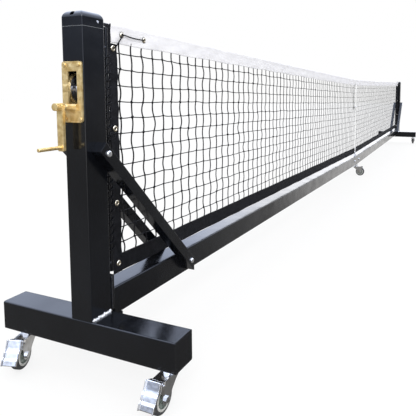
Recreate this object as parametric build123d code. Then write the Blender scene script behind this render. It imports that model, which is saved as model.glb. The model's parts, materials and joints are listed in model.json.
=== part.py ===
from build123d import *
import math
import os

# Portable rolling pickleball net. Millimetres, +Z up, X along the net, the front faces -Y.
# The winch post stands at -X. The origin is the bottom centre of the whole object.

# ---------------------------------------------------------------- driving dimensions
SPAN = 6700.0            # post axis to post axis, 22 ft
LEFT_REACH = 134.0       # crank handle tip beyond the left post axis
RIGHT_REACH = 104.0      # tie-off pin tip beyond the right post axis
XL = -SPAN / 2 + (LEFT_REACH - RIGHT_REACH) / 2
XR = XL + SPAN
XM = (XL + XR) / 2

POST_X, POST_Y = 76.0, 64.0
WALL = 3.0
EDGE = 4.0               # outer corner radius of the tubes
POST_TOP = 890.0
CAP_TOP = 926.0

FOOT_LENGTH, FOOT_WIDTH, FOOT_HEIGHT = 540.0, 76.0, 76.0
FOOT_BOTTOM = 100.0
FOOT_TOP = FOOT_BOTTOM + FOOT_HEIGHT

BEAM_WIDTH, BEAM_HEIGHT = 64.0, 74.0
BEAM_END_BOTTOM = 158.0
BEAM_FALL = 40.0         # how much lower the beam is at its middle joint
PLATE = 6.0              # each mounting plate between post and beam
PLATE_TOP = 268.0
BEAM_START = POST_X / 2 + 2 * PLATE

BRACE = 30.0             # square brace tube
BRACE_UPPER_BOLT = (6.0, 588.0)
BRACE_LOWER_BOLT = (396.0, 198.0)

WHEEL_R, TYRE_WIDTH = 37.5, 22.0
CASTER_Y = 228.0         # caster stem from the post axis, along the foot
TRAIL = 38.0             # wheel axle behind the stem
MIDDLE_CASTER_X = XM + 125.0

REEL_S, REEL_Z = -5.0, 745.8      # reel axle, s is measured inwards from the post axis
WORM_Y, WORM_Z = 17.5, 702.0
CRANK_LENGTH = 95.0
ARM_OUTER, ARM_INNER = -67.0, -59.0
TENON_R = 3.5

SHEAVE_S, SHEAVE_Z = 4.0, 887.0
CABLE_R = 2.5
SHEAVE_GROOVE_R = 22.0

NET_START = 98.0         # headband end, from the post axis
TAPE_START, TAPE_END = 89.0, 124.0
HEAD_END_TOP = 915.5
HEAD_SAG = 51.5
HEAD_POWER = 1.25        # 1 would be a plain V, 2 a hanging curve
TAPE_HEIGHT = 50.0
NET_BOTTOM = 249.0
NET_BOTTOM_FALL = 38.0
ROD_S = 80.0             # lacing rod, from the post axis

STRAP_WIDTH = 36.0
STRAP_FRONT = -12.0
HOOK_Y = STRAP_FRONT     # the strap, its loop, the hook and the eye share one line

os.makedirs("parts", exist_ok=True)


# ---------------------------------------------------------------- helpers
def block(x0, x1, y0, y1, z0, z1):
    """Box between two corners."""
    size = (abs(x1 - x0), abs(y1 - y0), abs(z1 - z0))
    return Pos((x0 + x1) / 2, (y0 + y1) / 2, (z0 + z1) / 2) * Box(*size)


def rod_x(r, x0, x1, y, z):
    return Pos((x0 + x1) / 2, y, z) * Rot(0, 90, 0) * Cylinder(r, abs(x1 - x0))


def rod_y(r, y0, y1, x, z):
    return Pos(x, (y0 + y1) / 2, z) * Rot(90, 0, 0) * Cylinder(r, abs(y1 - y0))


def rod_z(r, z0, z1, x, y):
    return Pos(x, y, (z0 + z1) / 2) * Cylinder(r, abs(z1 - z0))


def hex_y(flats, y0, y1, x, z):
    """Hexagonal prism along Y, flats is the size across its flats."""
    outline = Plane.XZ * RegularPolygon(flats / 2, 6, major_radius=False)
    return Pos(x, y1, z) * extrude(outline, y1 - y0)


def hex_x(flats, x0, x1, y, z):
    outline = Plane.YZ * RegularPolygon(flats / 2, 6, major_radius=False)
    return Pos(x0, y, z) * extrude(outline, x1 - x0)


def prism_xz(points, y0, y1):
    """Straight-sided outline in the XZ plane, extruded from y0 to y1."""
    outline = Plane.XZ * make_face(Polyline(*points, close=True))
    return Pos(0, y1, 0) * extrude(outline, y1 - y0)


def round_long_edges(solid, axis, radius):
    return fillet(solid.edges().filter_by(axis), radius)


def at_left(shape):
    return Pos(XL, 0, 0) * shape


def at_right(shape):
    return Pos(XR, 0, 0) * mirror(shape, Plane.YZ)


def save(node, *shapes):
    """Write one node, a single solid or a group of separate solids."""
    solids = [s for shape in shapes for s in shape.solids()]
    whole = solids[0] if len(solids) == 1 else Compound(children=solids)
    export_step(whole, f"parts/{node}.step")


def drop(x):
    """0 at the ends of the net, 1 at its middle, along the V of the beam."""
    return 1 - abs(x - XM) / (SPAN / 2 - BEAM_START)


def beam_bottom(x):
    return BEAM_END_BOTTOM - BEAM_FALL * drop(x)


def net_bottom(x):
    return NET_BOTTOM - NET_BOTTOM_FALL * drop(x)


def head_top(x):
    """The headband falls almost evenly to the middle, where the strap holds it down."""
    t = abs(x - XM) / (SPAN / 2 - NET_START)
    return HEAD_END_TOP - HEAD_SAG * (1 - t ** HEAD_POWER)


def stations(start, count):
    """Places along the net, closer together near the posts."""
    half = SPAN / 2 - start
    return [XM + half * math.sin(math.pi * (i / count - 0.5)) for i in range(count + 1)]


def ribbon(xs, low, high, y0, y1):
    """Band between two curves over X."""
    lower = [(x, low(x)) for x in xs]
    upper = [(x, high(x)) for x in reversed(xs)]
    return prism_xz(lower + upper, y0, y1)


# ---------------------------------------------------------------- posts and their caps
def post():
    half_x, half_y = POST_X / 2, POST_Y / 2
    outer = block(-half_x, half_x, -half_y, half_y, FOOT_TOP, POST_TOP)
    outer = round_long_edges(outer, Axis.Z, EDGE)
    bore = block(-half_x + WALL, half_x - WALL, -half_y + WALL, half_y - WALL,
                 FOOT_TOP - 1, POST_TOP + 1)
    tube = outer - bore
    for y in (-half_y, half_y):
        tube -= rod_y(4.1, y - WALL - 1, y + WALL + 1, *BRACE_UPPER_BOLT)
    for y in (-18, 18):
        tube -= rod_x(4.1, half_x - WALL - 1, half_x + 1, y, PLATE_TOP - 16)
    return tube


winch_cutout = block(-POST_X / 2 - 1, -POST_X / 2 + WALL + 1, -20, 27.5, 688, 792)
cable_exit = block(-POST_X / 2 - 1, -POST_X / 2 + WALL + 1, -6, 6, 640, 720)
winch_screw_places = [(y, z) for y, z in ((-21, 800), (21, 800), (-23, 673), (23, 673))]
left_post = post() - winch_cutout
for y, z in winch_screw_places:
    left_post -= rod_x(2.1, -POST_X / 2 - 1, -POST_X / 2 + WALL + 1, y, z)
right_post = post() - cable_exit
right_post -= rod_x(6, -POST_X / 2 - 1, -POST_X / 2 + WALL + 1, 0, 620)
save("left_post", at_left(left_post))
save("right_post", at_right(right_post))

CAP_SCREW = (14.0, 904.0)


def post_cap():
    """Cast cap with rounded top edges, a plug inside the post and a slot for the cable."""
    half_x, half_y = POST_X / 2, POST_Y / 2
    top = round_long_edges(block(-half_x, half_x, -half_y, half_y, POST_TOP, CAP_TOP), Axis.Z, EDGE)
    top = fillet(top.faces().sort_by(Axis.Z)[-1].edges(), 15)
    plug = block(-half_x + WALL + 0.2, half_x - WALL - 0.2, -half_y + WALL + 0.2,
                 half_y - WALL - 0.2, POST_TOP - 34, POST_TOP)
    cap = top + plug
    cap -= block(-30, 33.5, -7.5, 7.5, POST_TOP - 40, 916)
    cap -= block(33, half_x + 1, -6, 6, 899, CAP_TOP + 1)
    cap -= block(-half_x - 1, half_x + 1, -6, 6, 915.5, CAP_TOP + 1)
    cap -= rod_y(5, -24, 24, SHEAVE_S, SHEAVE_Z)
    for side in (-1, 1):
        cap -= rod_y(1.6, side * (half_y - 9), side * (half_y + 1), *CAP_SCREW)
    return cap


save("left_post_cap", at_left(post_cap()))
save("right_post_cap", at_right(post_cap()))


def cap_screws():
    places = []
    for side in (-1, 1):
        shank = rod_y(1.6, side * (POST_Y / 2 - 9), side * POST_Y / 2, *CAP_SCREW)
        head = rod_y(3.2, side * POST_Y / 2, side * (POST_Y / 2 + 1.2), *CAP_SCREW)
        places.append(shank + head)
    return places


def winch_screws():
    face = -POST_X / 2 - 6
    screws = []
    for y, z in winch_screw_places:
        screws.append(rod_x(2.1, face, -POST_X / 2 + WALL + 4, y, z)
                      + rod_x(4.6, face - 2, face, y, z))
    return screws


screws = [at_left(s) for s in cap_screws() + winch_screws()]
screws += [at_right(s) for s in cap_screws()]
save("cap_and_winch_screws", *screws)


# ---------------------------------------------------------------- feet
def foot():
    half_x, half_y = FOOT_WIDTH / 2, FOOT_LENGTH / 2
    outer = block(-half_x, half_x, -half_y, half_y, FOOT_BOTTOM, FOOT_TOP)
    outer = round_long_edges(outer, Axis.Y, EDGE)
    bore = block(-half_x + WALL, half_x - WALL, -half_y - 1, half_y + 1,
                 FOOT_BOTTOM + WALL, FOOT_TOP - WALL)
    tube = outer - bore
    for y in (-CASTER_Y, CASTER_Y):
        tube -= rod_z(6.1, FOOT_BOTTOM - 1, FOOT_BOTTOM + WALL + 1, 0, y)
    return tube


def foot_end_plates():
    half_x, half_y = FOOT_WIDTH / 2 - WALL - 0.1, FOOT_LENGTH / 2
    plates = []
    for side in (-1, 1):
        plates.append(block(-half_x, half_x, side * half_y, side * (half_y - WALL),
                            FOOT_BOTTOM + WALL + 0.1, FOOT_TOP - WALL - 0.1))
    return plates


save("left_foot", at_left(foot()))
save("right_foot", at_right(foot()))
save("foot_end_plates", *[at_left(p) for p in foot_end_plates()],
     *[at_right(p) for p in foot_end_plates()])


# ---------------------------------------------------------------- beam
def beam_outline(x0, x1, inset):
    low, high = inset, BEAM_HEIGHT - inset
    return [(x0, beam_bottom(x0) + low), (x1, beam_bottom(x1) + low),
            (x1, beam_bottom(x1) + high), (x0, beam_bottom(x0) + high)]


SLEEVE_HALF = 150.0
SLEEVE_BOLT = 90.0


def beam_half(x0, x1):
    half = BEAM_WIDTH / 2
    outer = prism_xz(beam_outline(x0, x1, 0), -half, half)
    long_edges = [e for e in outer.edges() if e.length > 1000]
    tube = fillet(long_edges, EDGE)
    tube -= prism_xz(beam_outline(x0, x1, WALL), -half + WALL, half - WALL)
    tube -= rod_z(6.1, 100, 135, MIDDLE_CASTER_X, 0)
    return tube


def bolt_through_beam(x):
    z = beam_bottom(x) + BEAM_HEIGHT / 2
    half = BEAM_WIDTH / 2
    return rod_y(5, -half, half, x, z) + rod_y(9, -half - 4, -half, x, z) + hex_y(16, half, half + 8, x, z)


sleeve_bolt_places = [XM - SLEEVE_BOLT, XM + SLEEVE_BOLT]


def beam_bolt_holes(x):
    z = beam_bottom(x) + BEAM_HEIGHT / 2
    return rod_y(5.05, -BEAM_WIDTH, BEAM_WIDTH, x, z)


def brace_bolt_holes(post_x, inward):
    x = post_x + inward * BRACE_LOWER_BOLT[0]
    return rod_y(4.1, -BEAM_WIDTH, BEAM_WIDTH, x, BRACE_LOWER_BOLT[1])


eye_hole = rod_z(5, 170, 200, XM, HOOK_Y)
left_half = beam_half(XL + BEAM_START, XM) - beam_bolt_holes(XM - SLEEVE_BOLT)
left_half -= brace_bolt_holes(XL, 1)
left_half -= eye_hole
right_half = beam_half(XM, XR - BEAM_START) - beam_bolt_holes(XM + SLEEVE_BOLT)
right_half -= brace_bolt_holes(XR, -1)
right_half -= eye_hole
save("beam_left_half", left_half)
save("beam_right_half", right_half)


def beam_sleeve():
    """Inner sleeve that joins the two halves of the beam, bent at the middle."""
    sleeve = None
    gap = WALL + 0.6
    for x0, x1 in ((XM - SLEEVE_HALF, XM), (XM, XM + SLEEVE_HALF)):
        half = BEAM_WIDTH / 2 - gap
        piece = prism_xz(beam_outline(x0, x1, gap), -half, half)
        piece -= prism_xz(beam_outline(x0, x1, gap + 4), -half + 4, half - 4)
        sleeve = piece if sleeve is None else sleeve + piece
    for x in sleeve_bolt_places:
        sleeve -= beam_bolt_holes(x)
    sleeve -= rod_z(6.1, 100, 140, MIDDLE_CASTER_X, 0)
    return sleeve - eye_hole


save("beam_sleeve", beam_sleeve())


def mounting_plates():
    """A plate welded to the post, its twin on the beam, and the seat below the beam's end."""
    half = BEAM_WIDTH / 2
    solids = []
    for start in (POST_X / 2, POST_X / 2 + PLATE):
        plate = block(start, start + PLATE, -half, half, FOOT_TOP, PLATE_TOP)
        for y in (-18, 18):
            plate -= rod_x(4.1, start - 1, start + PLATE + 1, y, PLATE_TOP - 16)
        solids.append(plate)
    seat = block(POST_X / 2, POST_X / 2 + 44, -half, half, 142, 156.5)
    solids.append(seat)
    return solids


save("beam_mounting_plates", *[at_left(p) for p in mounting_plates()],
     *[at_right(p) for p in mounting_plates()])


def plate_bolts():
    inner = POST_X / 2 - WALL
    bolts = []
    for y in (-18, 18):
        bolt = rod_x(4.1, inner - 8, BEAM_START, y, PLATE_TOP - 16)
        bolt += hex_x(13, BEAM_START, BEAM_START + 6, y, PLATE_TOP - 16)
        bolts.append(bolt)
    return bolts


save("beam_bolts", *[bolt_through_beam(x) for x in sleeve_bolt_places],
     *[at_left(b) for b in plate_bolts()], *[at_right(b) for b in plate_bolts()])


# ---------------------------------------------------------------- braces
def brace(side):
    """Square tube from the post's face down to the beam's face, side is -1 front or 1 back."""
    near, far = side * POST_Y / 2, side * (POST_Y / 2 + BRACE)
    half = BRACE / 2 * math.sqrt(2)
    centre = sum(BRACE_UPPER_BOLT)
    top_cut = BRACE_UPPER_BOLT[0] - BRACE_UPPER_BOLT[1] - 25 * math.sqrt(2)
    end = BRACE_LOWER_BOLT[0] + 16

    def outline(inset, extra):
        low = centre - half + inset * math.sqrt(2)
        high = centre + half - inset * math.sqrt(2)
        cut = top_cut - extra
        return [((low + cut) / 2, (low - cut) / 2), ((high + cut) / 2, (high - cut) / 2),
                (end + extra, high - end - extra), (end + extra, low - end - extra)]

    tube = prism_xz(outline(0, 0), min(near, far), max(near, far))
    inner = sorted((near + side * 2.5, far - side * 2.5))
    tube -= prism_xz(outline(2.5, -2.5), inner[0], inner[1])
    for place in (BRACE_UPPER_BOLT, BRACE_LOWER_BOLT):
        tube -= rod_y(4.1, min(near, far) - 1, max(near, far) + 1, *place)
    return tube


for name, side in (("front", -1), ("back", 1)):
    save(f"left_{name}_brace", at_left(brace(side)))
    save(f"right_{name}_brace", at_right(brace(side)))


def brace_bolts():
    bolts = []
    for side in (-1, 1):
        face = side * (POST_Y / 2 + BRACE)
        for place in (BRACE_UPPER_BOLT, BRACE_LOWER_BOLT):
            shank = rod_y(4.1, side * (POST_Y / 2 - WALL - 6), face, *place)
            head = rod_y(8, face, face + side * 5, *place)
            head = fillet(head.edges().sort_by(Axis.Y)[0 if side < 0 else -1], 3)
            bolts.append(shank + head)
    return bolts


save("brace_bolts", *[at_left(b) for b in brace_bolts()], *[at_right(b) for b in brace_bolts()])


# ---------------------------------------------------------------- casters
# Each caster is made with its stem on the Z axis, trailing towards -X, and then turned.
PLATE_Z = 78.0           # top plate of the fork
PEDAL_PIVOT = (-52.0, 78.0)
casters = {
    "left_front": (XL, -CASTER_Y, 0.0, FOOT_BOTTOM, True),
    "left_back": (XL, CASTER_Y, 18.0, FOOT_BOTTOM, True),
    "middle": (MIDDLE_CASTER_X, 0.0, 90.0, beam_bottom(MIDDLE_CASTER_X - 18), False),
    "right_front": (XR, -CASTER_Y, 180.0, FOOT_BOTTOM, True),
    "right_back": (XR, CASTER_Y, 166.0, FOOT_BOTTOM, True),
}


def caster_stem(top):
    stem = rod_z(6, PLATE_Z - 6, top + 22, 0, 0)
    stem += rod_z(9.5, PLATE_Z - 7, PLATE_Z - 3, 0, 0)
    stem += rod_z(13, 90, top, 0, 0) + rod_z(17.5, top - 5, top, 0, 0)
    return stem


def caster_fork(brake):
    """Stamped fork, its bearing race, and the axle bolt."""
    top = rod_z(20, PLATE_Z, PLATE_Z + 3, 0, 0) + rod_z(17, PLATE_Z + 3, PLATE_Z + 10, 0, 0)
    top += block(-44, 0, -17, 17, PLATE_Z, PLATE_Z + 3)
    sides = [(19, 81), (19, 73), (5, 64), (-10, 50), (-21, 34), (-31, 26), (-45, 26), (-52, 34),
             (-52, 52), (-58, 68), (-58, 83), (-47, 84.5), (-42, 81)]
    for side in (-1, 1):
        leg = prism_xz(sides, min(14 * side, 17 * side), max(14 * side, 17 * side))
        corners = leg.edges().filter_by(Axis.Y).sort_by(Axis.Z)
        leg = fillet(corners[:8], 4)
        top += leg
    top -= rod_z(6.06, PLATE_Z - 1, PLATE_Z + 12, 0, 0)
    top -= rod_y(5, -18, 18, -TRAIL, WHEEL_R)
    if brake:
        top -= rod_y(3.05, -18, 18, *PEDAL_PIVOT)
    axle = rod_y(5, -17, 17, -TRAIL, WHEEL_R)
    axle += hex_y(14, -22, -17, -TRAIL, WHEEL_R) + hex_y(14, 17, 22, -TRAIL, WHEEL_R)
    return top, axle


def caster_wheel():
    core = rod_y(28, -11, 11, 0, 0) + rod_y(11, -13, 13, 0, 0)
    for side in (-1, 1):
        dish = rod_y(22, side * 7, side * 11, 0, 0) - rod_y(11, side * 7, side * 11, 0, 0)
        core -= dish
    core -= rod_y(5.05, -14, 14, 0, 0)
    tyre = rod_y(WHEEL_R, -TYRE_WIDTH / 2, TYRE_WIDTH / 2, 0, 0)
    tyre = fillet(tyre.edges().filter_by(GeomType.CIRCLE), 6)
    tyre -= rod_y(28, -TYRE_WIDTH, TYRE_WIDTH, 0, 0)
    place = Pos(-TRAIL, 0, WHEEL_R)
    return place * core, place * tyre


def brake_pedal():
    """Ridged steel pedal that hangs behind the wheel and pivots on the fork."""
    x, z = PEDAL_PIVOT
    outline = [(-60, 88), (-57, 87), (-68, 62), (-72, 61), (-80, 46), (-84, 45.5), (-90, 33), (-92.5, 34),
               (-86.5, 48.5), (-82.5, 49), (-75.5, 63.5), (-71.5, 64.5)]
    plate = prism_xz(outline, -20.5, 20.5)
    ear_outline = [(x + 7, z - 5), (x + 7, z + 6), (-57, 87), (-68, 62)]
    for side in (-1, 1):
        y0, y1 = sorted((side * 18, side * 20.5))
        plate += prism_xz(ear_outline, y0, y1)
    plate += rod_y(3, -20.5, 20.5, x, z)
    return plate


stems = []
for name, (x, y, turn, top, brake) in casters.items():
    place = Pos(x, y, 0) * Rot(0, 0, turn)
    stems.append(Pos(x, y, 0) * caster_stem(top))
    fork, axle = caster_fork(brake)
    core, tyre = caster_wheel()
    save(f"{name}_caster_fork", place * fork, place * axle)
    save(f"{name}_wheel_core", place * core)
    save(f"{name}_tyre", place * tyre)
    if brake:
        save(f"{name}_brake_pedal", place * brake_pedal())
save("caster_stems", *stems)


# ---------------------------------------------------------------- winch
FLANGE_R = 34.0
DRUM_R = 12.0
GEAR_R = 37.0
GEAR_TEETH = 30


face = -POST_X / 2


def winch_housing():
    """Brass casting: face plate, gear cover, worm bearings and the cheeks for the axle."""
    body = block(face - 6, face, -29, 29, 665, 808)
    body = fillet(body.edges().filter_by(Axis.X), 7)
    cover = rod_y(40, 11.4, 27, REEL_S, REEL_Z) & block(face - 30, face, 11, 28, 680, 800)
    bridge = block(face - 12, face, -16, 27, 694, 708)
    bridge = fillet(bridge.edges().filter_by(Axis.Y).group_by(Axis.X)[0], 3)
    cheek = [(face, 725), (-9, 722), (9, 740), (9, 756), (-9, 774), (face, 771)]
    deep_cheek = [(face, 690), (13, 690), (13, 714), (10, 740), (10, 756), (-9, 774), (face, 771)]
    body += cover + bridge
    body += prism_xz(cheek, -19.5, -16) + prism_xz(deep_cheek, 24.2, 27)
    body += block(8, 13, 10, 25, 692, 710)
    body -= block(face - 7, face + 1, -15.9, 11.4, 709, 785)
    body -= rod_y(37.6, 12.6, 22.6, REEL_S, REEL_Z) & block(-60, -20, 12, 23, 700, 800)
    body -= rod_y(6, -21, 28, REEL_S, REEL_Z)
    body -= rod_x(6.05, face - 20, face + 2, WORM_Y, WORM_Z)
    body -= rod_x(4.05, 7, 14, WORM_Y, WORM_Z)
    body -= block(face - 7, face - 4, -25, 25, 668, 690)
    for y, z in winch_screw_places:
        body -= rod_x(2.1, face - 7, face + 1, y, z)
    return body


def winch_reel():
    reel = rod_y(DRUM_R, -15, 11, REEL_S, REEL_Z)
    for y0, y1 in ((-15, -12.5), (8.5, 11)):
        reel += rod_y(FLANGE_R, y0, y1, REEL_S, REEL_Z)
    return reel - rod_y(6.05, -16, 12, REEL_S, REEL_Z)


def worm_wheel():
    wheel = rod_y(GEAR_R, 13, 22, REEL_S, REEL_Z) + rod_y(9, 11, 23.8, REEL_S, REEL_Z)
    for i in range(GEAR_TEETH):
        gash = Rot(0, 360 / GEAR_TEETH * i, 0) * rod_y(1.9, 12, 23, GEAR_R, 0)
        wheel -= Pos(REEL_S, 0, REEL_Z) * gash
    return wheel - rod_y(6.05, 10, 25, REEL_S, REEL_Z)


def worm_shaft():
    shaft = rod_x(4, -1, 13.5, WORM_Y, WORM_Z) + rod_x(5, -33, -1, WORM_Y, WORM_Z)
    shaft += rod_x(6, -81, -33, WORM_Y, WORM_Z)
    for i in range(8):
        x = -32 + 4 * i
        shaft += rod_x(6.3, x, x + 1.8, WORM_Y, WORM_Z)
    return shaft


def crank_arm():
    """Flat brass arm with a long hub that slides on the worm shaft."""
    arm = block(ARM_OUTER, ARM_INNER, WORM_Y - 9, WORM_Y + 9, WORM_Z - CRANK_LENGTH - 9, WORM_Z + 9)
    arm = fillet(arm.edges().filter_by(Axis.X), 4)
    arm += rod_x(9, -82, ARM_INNER - 2.5, WORM_Y, WORM_Z)
    arm -= rod_x(6, -81, ARM_INNER + 1, WORM_Y, WORM_Z)
    arm -= rod_x(TENON_R, ARM_OUTER - 1, ARM_INNER + 1, WORM_Y, WORM_Z - CRANK_LENGTH)
    return arm


def crank_handle():
    """Plain rod for the hand, riveted into the arm by a thinner tenon."""
    z = WORM_Z - CRANK_LENGTH
    rod = fillet(rod_x(4.5, -LEFT_REACH, ARM_OUTER, WORM_Y, z).edges().sort_by(Axis.X)[0], 1.5)
    return rod + rod_x(TENON_R, ARM_OUTER, ARM_INNER + 1, WORM_Y, z)


save("winch_housing", at_left(winch_housing()))
save("winch_reel", at_left(winch_reel()))
save("worm_wheel", at_left(worm_wheel()))
save("worm_shaft", at_left(worm_shaft()))
save("crank_arm", at_left(crank_arm()))
save("crank_handle", at_left(crank_handle()))


# ---------------------------------------------------------------- pulleys in the caps
def sheave():
    wheel = rod_y(SHEAVE_GROOVE_R + 5, -6, 6, SHEAVE_S, SHEAVE_Z)
    groove = Pos(SHEAVE_S, 0, SHEAVE_Z) * Rot(90, 0, 0) * Torus(SHEAVE_GROOVE_R + CABLE_R, CABLE_R + 0.4)
    channel = rod_y(SHEAVE_GROOVE_R + 6, -2.9, 2.9, SHEAVE_S, SHEAVE_Z)
    channel -= rod_y(SHEAVE_GROOVE_R + CABLE_R, -2.9, 2.9, SHEAVE_S, SHEAVE_Z)
    return wheel - groove - channel - rod_y(5.05, -7, 7, SHEAVE_S, SHEAVE_Z)


save("left_sheave", at_left(sheave()))
save("right_sheave", at_right(sheave()))
sheave_axle = rod_y(5, -24, 24, SHEAVE_S, SHEAVE_Z)
save("pulley_axles", at_left(sheave_axle), at_right(sheave_axle),
     at_left(rod_y(6, -19.5, 27, REEL_S, REEL_Z)))


# ---------------------------------------------------------------- tie-off pin on the right post
PIN_Z = 620.0
pin = rod_x(6, -RIGHT_REACH + 6, -POST_X / 2 + WALL, 0, PIN_Z)
pin += rod_x(11, -RIGHT_REACH, -RIGHT_REACH + 6, 0, PIN_Z)
pin += rod_x(13, -POST_X / 2 - 3, -POST_X / 2, 0, PIN_Z)
save("tie_off_pin", at_right(pin))


# ---------------------------------------------------------------- lacing rods and lacing
def lacing_rod():
    rod = rod_z(5, 262, 902, ROD_S, 0)
    for z in (285, 560, 850):
        rod += rod_x(4, POST_X / 2, ROD_S, 0, z)
    return rod


LACING_LOW, LACING_HIGH = 300.0, 838.0


def lacing_coil():
    """Outer shape of the cord that is wound round the lacing rod."""
    solids = []
    for z0, z1 in ((LACING_LOW, 553), (567, LACING_HIGH)):
        coil = rod_z(8.6, z0, z1, ROD_S, 0) - rod_z(5, z0, z1, ROD_S, 0)
        solids.append(coil)
    return solids


save("lacing_rods", at_left(lacing_rod()), at_right(lacing_rod()))
save("lacing_cords", *[at_left(c) for c in lacing_coil()], *[at_right(c) for c in lacing_coil()])


# ---------------------------------------------------------------- the net
def side_tape():
    outline = [(TAPE_START, NET_BOTTOM), (TAPE_END, NET_BOTTOM), (TAPE_END, HEAD_END_TOP - 52.5),
               (NET_START - 0.4, HEAD_END_TOP - 52.5), (NET_START - 0.4, HEAD_END_TOP - 10),
               (TAPE_START, HEAD_END_TOP - 10)]
    return prism_xz(outline, -1.5, 1.5)


head_xs = stations(NET_START, 28)
tape_xs = [XL + TAPE_END, XM, XR - TAPE_END]
mesh_xs = stations(TAPE_END, 16)
sleeve_wall = 1.2
headband = ribbon(head_xs, lambda x: head_top(x) - TAPE_HEIGHT, head_top, -5, 5)
pocket_xs = [head_xs[0] - 5] + head_xs[1:-1] + [head_xs[-1] + 5]
headband -= ribbon(pocket_xs, lambda x: head_top(x) - TAPE_HEIGHT + 12,
                   lambda x: head_top(x) - sleeve_wall, -5 + sleeve_wall, 5 - sleeve_wall)
bottom_tape = ribbon(tape_xs, net_bottom, lambda x: net_bottom(x) + TAPE_HEIGHT, -1.5, 1.5)
net_mesh = ribbon(mesh_xs, lambda x: net_bottom(x) + TAPE_HEIGHT + 1,
                  lambda x: head_top(x) - TAPE_HEIGHT - 1.5, -1, 1)
save("side_tapes", at_left(side_tape()), at_right(side_tape()))
save("headband", headband)
save("bottom_tape", bottom_tape)
save("net_mesh", net_mesh)


# ---------------------------------------------------------------- headline cable
def leaving_line(s_end, z_end, r_end):
    """Line that touches the sheave's cable circle and a second circle, both on the outer side.

    Returns the corner where it meets the headline's line and the touching point on the
    second circle, in (s, z)."""
    r_top = SHEAVE_GROOVE_R + CABLE_R
    ds, dz = s_end - SHEAVE_S, z_end - SHEAVE_Z
    distance = math.hypot(ds, dz)
    lean = math.atan2(-ds, -dz) - math.asin((r_top - r_end) / distance)
    across = (-math.cos(lean), math.sin(lean))
    touch_top = (SHEAVE_S + r_top * across[0], SHEAVE_Z + r_top * across[1])
    touch_end = (s_end + r_end * across[0], z_end + r_end * across[1])
    slope = math.tan(HEAD_LEAN)
    along = (touch_end[0] - touch_top[0]) / (touch_end[1] - touch_top[1])
    z_line = NET_CABLE_Z + NET_START * slope
    z = (z_line - slope * (touch_top[0] - along * touch_top[1])) / (1 + slope * along)
    return (touch_top[0] + along * (z - touch_top[1]), z), touch_end


CABLE_BELOW = 6.0        # cable centre under the headband's top edge
NET_CABLE_Z = HEAD_END_TOP - CABLE_BELOW
HEAD_LEAN = math.atan(HEAD_POWER * HEAD_SAG / (SPAN / 2 - NET_START))
corner_left, reel_touch = leaving_line(REEL_S, REEL_Z, DRUM_R + CABLE_R + 0.3)
corner_right, _ = leaving_line(SHEAVE_S - 2, 700.0, SHEAVE_GROOVE_R + CABLE_R)
hang = [(x, head_top(x) - CABLE_BELOW) for x in head_xs[1:-1]]
exit_points = [(-22.5, 712.0), (-47.5, 668.0), (-47.5, 634.0)]
route = [(XL + reel_touch[0], reel_touch[1]), (XL + corner_left[0], corner_left[1])]
route += hang
route += [(XR - corner_right[0], corner_right[1])]
route += [(XR - s, z) for s, z in exit_points]


def tube_along(points, radii, radius):
    """Round tube along straight runs joined by tangent arcs, in the XZ plane."""
    path = FilletPolyline(*[(x, 0, z) for x, z in points], radius=radii)
    start = Plane(origin=path @ 0, z_dir=path % 0)
    return sweep(start * Circle(radius), path=path)


def arc_radii(points):
    """Largest arc at each corner: 0.45 of the shorter run over the tangent of half the turn."""
    radii = []
    for a, b, c in zip(points, points[1:], points[2:]):
        first = math.atan2(b[1] - a[1], b[0] - a[0])
        second = math.atan2(c[1] - b[1], c[0] - b[0])
        turn = abs((second - first + math.pi) % (2 * math.pi) - math.pi)
        run = min(math.dist(a, b), math.dist(b, c))
        radii.append(min(0.45 * run / math.tan(turn / 2), 50000.0))
    return radii


radii = arc_radii(route)
radii[0] = SHEAVE_GROOVE_R + CABLE_R
radii[len(hang) + 1] = SHEAVE_GROOVE_R + CABLE_R
print("cable radii", [round(r) for r in radii])
cable = tube_along(route, radii, CABLE_R)
eye_x = XR + 47.5
cable_eye = rod_x(11.5, eye_x - 2.5, eye_x + 2.5, 0, PIN_Z) - rod_x(6.3, eye_x - 3, eye_x + 3, 0, PIN_Z)
save("headline_cable", cable, cable_eye)


# ---------------------------------------------------------------- centre strap and its hook
STRAP_TOP = head_top(XM) + 2.4
STRAP_LOW = 262.0
half_strap = STRAP_WIDTH / 2
front = block(XM - half_strap, XM + half_strap, STRAP_FRONT, STRAP_FRONT + 2, STRAP_LOW, STRAP_TOP)
over = block(XM - half_strap, XM + half_strap, STRAP_FRONT, -STRAP_FRONT, STRAP_TOP - 2, STRAP_TOP)
back = block(XM - half_strap, XM + half_strap, -STRAP_FRONT - 2, -STRAP_FRONT, 600, STRAP_TOP)
save("centre_strap", front + over + back)

SLIDER_Z = 615.0


def slider():
    """Tri-glide buckle: a flat frame round the front leg of the strap."""
    frame = block(-27, 27, STRAP_FRONT - 3, STRAP_FRONT + 5, SLIDER_Z - 17, SLIDER_Z + 17)
    frame -= block(-19, 19, STRAP_FRONT - 0.4, STRAP_FRONT + 2.4, SLIDER_Z - 18, SLIDER_Z + 18)
    for z in (SLIDER_Z - 7.5, SLIDER_Z + 7.5):
        frame -= block(-19, 19, STRAP_FRONT - 4, STRAP_FRONT + 6, z - 5.5, z + 5.5)
    return Pos(XM, 0, 0) * frame


LOOP_Z = 250.0
HOOK_Z = LOOP_Z - 27     # centre of the hook's ring


def strap_loop():
    """Rectangular wire loop sewn into the strap's end."""
    outer = block(-23, 23, HOOK_Y - 1.6, HOOK_Y + 1.6, LOOP_Z - 4, LOOP_Z + 11.8)
    inner = block(-19.5, 19.5, HOOK_Y - 3, HOOK_Y + 3, LOOP_Z - 0.5, LOOP_Z + 8.3)
    neck_hole = rod_z(1.25, LOOP_Z - 5, LOOP_Z, 0, HOOK_Y)
    return Pos(XM, 0, 0) * (outer - inner - neck_hole)


save("strap_slider_and_loop", slider(), strap_loop())


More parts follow.
